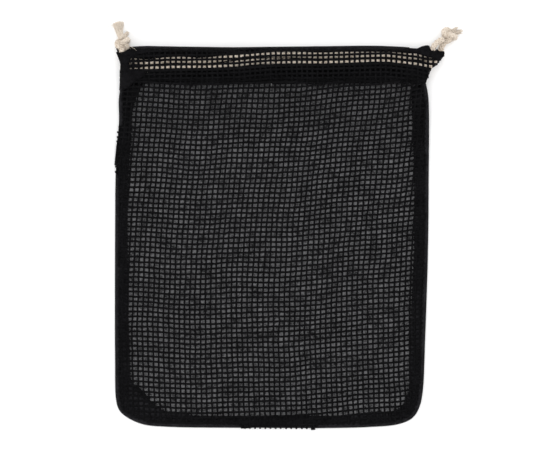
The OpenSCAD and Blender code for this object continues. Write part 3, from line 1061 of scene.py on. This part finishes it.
def weld(obj):
    """Joins points that lie together, and turns every face the same way, up."""
    mesh = bmesh.new()
    mesh.from_mesh(obj.data)
    bmesh.ops.remove_doubles(mesh, verts=mesh.verts, dist=0.00005)
    bmesh.ops.recalc_face_normals(mesh, faces=mesh.faces)
    flat = [f for f in mesh.faces if abs(f.normal.z) > 0.9 and f.calc_center_median().z < 0.0012]
    if sum(f.normal.z for f in flat) < 0:
        bmesh.ops.reverse_faces(mesh, faces=mesh.faces)
    mesh.to_mesh(obj.data)
    mesh.free()


def allowance_width(point, inward):
    """Distance from the outline inwards to the allowance's edge."""
    found = []
    for a, b in zip(ALLOWANCE_EDGE[:-1], ALLOWANCE_EDGE[1:]):
        edge = np.subtract(b, a)
        matrix = np.array([[inward[0], -edge[0]], [inward[1], -edge[1]]])
        if abs(np.linalg.det(matrix)) < 1e-6:
            continue
        distance, share = np.linalg.solve(matrix, np.subtract(a, point))
        if distance > 2 and -0.02 <= share <= 1.02:
            found.append(distance)
    return min(found, default=ALLOWANCE_LIMIT)


def make_allowances():
    """The inturned edges of both panels, a strip inside the rim, with overlocked edges."""
    widths = np.array([allowance_width(p, n) for p, n in zip(RIM, INWARD)])
    smooth_out(widths, 4)
    s = along(RIM)
    low_left = int(np.argmax(RIM[:, 1] < -98))
    low_right = len(RIM) - int(np.argmax(RIM[::-1, 1] < -95))
    spans = (
        ("left", slice(0, low_left + 1), -1), ("bottom", slice(low_left, low_right), 0),
        ("right", slice(low_right - 1, len(RIM)), 1),
    )
    for name, part, side in spans:
        line, inward, width = RIM[part], INWARD[part], widths[part]
        top = lip_height(line[:, 1])
        wave = 0.35 * np.sin(s[part] / 7.0) + 0.25 * np.sin(s[part] / 3.1)
        rows = []
        for share in np.linspace(0, 1, 8):
            depth = 1.3 + (width - 1.3) * share
            rolled = (0.55 * top - ALLOWANCE_Z) * np.clip(1 - share / 0.35, 0, 1) ** 2
            height = ALLOWANCE_Z + rolled + wave * share * 0.7
            rows.append(np.column_stack([line + inward * depth[:, None], height]))
        shape = Shape()
        shape.grid(np.stack(rows, axis=1))
        piece = thicken(shape.build(name + "_allowance", CLOTH_OUTSIDE), ALLOWANCE_T)
        stands_for(name + "_seam_allowance")
        ride_or_gather(piece, side)
        make_overlock(name, line, inward, width, ALLOWANCE_Z + wave * 0.7, side)


def make_overlock(name, line, inward, width, height, side):
    """The overlock stitches over the allowance's raw edge: a thread that loops round it."""
    s = along(line)
    turns = int(s[-1] / OVERLOCK_PITCH)
    path = []
    for i in range(turns):
        for share, in_from_edge, lift in ((0.0, 3.4, 0.75), (0.3, 1.6, 0.75), (0.5, -0.35, 0.35),
                                          (0.6, -0.35, -0.45), (0.8, 1.4, -0.72), (0.9, 1.4, -0.72)):
            at = (i + share) * OVERLOCK_PITCH
            base = [np.interp(at, s, line[:, k]) for k in (0, 1)]
            way = [np.interp(at, s, inward[:, k]) for k in (0, 1)]
            depth = np.interp(at, s, width) - in_from_edge
            z = np.interp(at, s, height) + lift
            path.append((base[0] + way[0] * depth, base[1] + way[1] * depth, z))
    shape = Shape()
    shape.round_tube(smooth_curve(path, 0.7, 5), OVERLOCK_D, 5)
    piece = shape.build(name + "_overlock", BLACK_THREAD)
    stands_for(name + "_seam_thread")
    ride_or_gather(piece, side)


def make_hem_stitches():
    """The lockstitch rows that close the two hems: short stitches, dipping into the cloth at each end."""
    for which, node, hem, z_up in (
        ("front", "front_hem_thread", FRONT_HEM, 1.05), ("back", "back_hem_thread", BACK_HEM, 1.35),
    ):
        for side, word in ((-1, "left"), (1, "right")):
            shape = Shape()
            for i in range(40):
                xs = side * (1.2 + i * STITCH_PITCH) + side * np.linspace(0, 2.3, 6)
                y, z, _ = hem.section(xs, np.full(6, 1.5))
                bow = np.sin(np.linspace(0, math.pi, 6)) * 0.35
                y = y + 0.12 * math.sin(i * 1.7)
                shape.round_tube(np.column_stack([xs, y, z + z_up - 0.35 + bow]), STITCH_D, 6)
            piece = shape.build(which + "_hem_stitches_" + word, BLACK_THREAD)
            stands_for(node)
            gather(piece)


# ---------------------------------------------------------------- cords
def add_braid(shape, line, diameter, pitch, strands=4, sides=5):
    """Round braid along a line: as many strands each way, over and under in turn, round a soft core."""
    across, up = turning_frame(line)
    s = along(line)
    scale = np.broadcast_to(np.asarray(diameter, float) / CORD_D, s.shape)
    helix = (CORD_D / 2 - STRAND_R) * scale
    turn = 2 * math.pi / pitch * s
    for way in (1, -1):
        for k in range(strands):
            angle = way * turn + k * 2 * math.pi / strands
            radius = helix + way * 0.26 * scale * np.cos(strands * turn)
            offset = across * np.cos(angle)[:, None] + up * np.sin(angle)[:, None]
            points = line + offset * radius[:, None]
            tangent = unit(np.gradient(points, axis=0))
            side = unit(np.cross(tangent, offset))
            shape.tube(points, side, np.cross(side, tangent), 1.9 * STRAND_R * scale,
                       1.6 * STRAND_R * scale, sides)
    shape.tube(line, across, up, 3.3 * scale, 3.3 * scale, 6)


def make_knot_line(centre, turn, lean, size):
    """An overhand knot drawn tight: a trefoil, leaned over and made to size."""
    t = np.linspace(0, 2 * math.pi, 121)[:-1]
    t = np.append(t, t[0] + 2 * math.pi)
    x = np.sin(t) + 1.75 * np.sin(2 * t)
    y = np.cos(t) - 1.75 * np.cos(2 * t)
    z = -1.05 * np.sin(3 * t)
    p = np.stack([x, y, z], axis=1) * np.array(size)
    a, b = math.radians(turn), math.radians(lean)
    tilt = np.array([[1, 0, 0], [0, math.cos(b), -math.sin(b)], [0, math.sin(b), math.cos(b)]])
    spin = np.array([[math.cos(a), -math.sin(a), 0], [math.sin(a), math.cos(a), 0], [0, 0, 1]])
    return resample(p @ tilt.T @ spin.T + np.array(centre), 0.5)


def make_knot(word, centre, turn, lean, size, seed):
    """A knot of the same braid, with loose fibres on it."""
    line = make_knot_line(centre, turn, lean, size)
    shape = Shape()
    add_braid(shape, line, KNOT_CORD_D, KNOT_BRAID_PITCH)
    fuzz(shape, centre, 5.8, seed)
    piece = shape.build(word + "_knot_braid", CREAM_COTTON)
    stands_for(word + "_knot")
    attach(piece, word + "_cord")
    return piece


def fuzz(shape, centre, radius, seed):
    """Loose fibres that stand off the cotton."""
    draw = random.Random(seed)
    for _ in range(FUZZ_FIBRES):
        way = unit(np.array([draw.gauss(0, 1), draw.gauss(0, 1), abs(draw.gauss(0, 0.7))]))
        side = unit(np.cross(way, (draw.gauss(0, 1), draw.gauss(0, 1), draw.gauss(0, 1))))
        start = np.array(centre) + way * radius * 0.8
        reach = draw.uniform(0.7, 2.1)
        t = np.linspace(0, 1, 5)[:, None]
        line = start + way * reach * t + side * reach * 0.9 * t ** 2
        shape.round_tube(line, FIBRE_D, 3)


def add_frayed_end(shape, points, widths, fibres, seed, spread):
    """A cord's cut end: the braid opens into a soft brush of fibres, some of them stray."""
    draw = random.Random(seed)
    line = smooth_curve(points, 0.6)
    share = along(line) / along(line)[-1]
    size = np.interp(share, np.linspace(0, 1, len(widths)), widths)
    across, up = turning_frame(line)
    for _ in range(fibres):
        angle = draw.uniform(0, 2 * math.pi)
        inset = math.sqrt(draw.random()) * 0.92
        twist = draw.uniform(-1.6, 1.6)
        stop = draw.uniform(0.72, 1.0)
        keep = share <= stop
        flare = 1 + draw.uniform(-0.1, spread) * np.clip((share - 0.6) / 0.4, 0, 1) ** 2
        a = angle + twist * share
        offset = (across * np.cos(a)[:, None] + up * np.sin(a)[:, None]) * (size / 2 * inset * flare)[:, None]
        waves = np.sin(share * draw.uniform(8, 16) + angle)[:, None] * up * 0.18
        thread = (line + offset + waves)[keep]
        if len(thread) > 3:
            shape.round_tube(thread, draw.uniform(0.34, 0.62), 4)
    shape.tube(line, across, up, size * 0.5, size * 0.5, 7)


def add_wisps(shape, start, ends, seed):
    """Single stray fibres past a frayed end."""
    draw = random.Random(seed)
    t = np.linspace(0, 1, 9)[:, None]
    for end in ends:
        bend = np.array([draw.uniform(-1, 1), draw.uniform(-1, 1), draw.uniform(0, 0.6)])
        shape.round_tube(start + (end - start) * t + bend * np.sin(math.pi * t), WISP_D, 3)


def make_tips(word, knot, ends, wisps):
    """The frayed ends past a knot."""
    shape = Shape()
    for points, widths, fibres, seed, spread in ends:
        add_frayed_end(shape, np.add(points, knot), widths, fibres, seed, spread)
    for start, stops, seed in wisps:
        add_wisps(shape, np.add(start, knot), np.add(stops, knot), seed)
    piece = shape.build(word + "_tips", CREAM_COTTON)
    stands_for(word + "_cord_tips")
    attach(piece, word + "_cord")
    return piece


def make_cords():
    """Both drawcords, each one loop through the two hems, with its knot and frayed ends."""
    tips = {
        "left": make_tips("left", LEFT_KNOT, LEFT_ENDS, LEFT_WISPS),
        "right": make_tips("right", RIGHT_KNOT, RIGHT_ENDS, RIGHT_WISPS),
    }
    knots = {
        "left": make_knot("left", LEFT_KNOT, 20, 24, (1.8, 1.45, 2.3), 5),
        "right": make_knot("right", RIGHT_KNOT, -35, 20, (2.0, 1.65, 2.3), 9),
    }
    for word, route in (("left", LEFT_ROUTE), ("right", RIGHT_ROUTE)):
        line = smooth_curve(route, 0.62)
        shape = Shape()
        add_braid(shape, line, CORD_D, BRAID_PITCH)
        piece = shape.build(word + "_cord_braid", CREAM_COTTON)
        stands_for(word + "_drawcord")
        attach(piece, word + "_cord")


# ---------------------------------------------------------------- the whole bag
add_camera()
make_cords()
add_studio()
front = drape_front()
make_back_cloth()
make_allowances()
make_back_hem()
make_front_net(front)
make_front_hem()
make_corner_wraps()
make_hem_stitches()
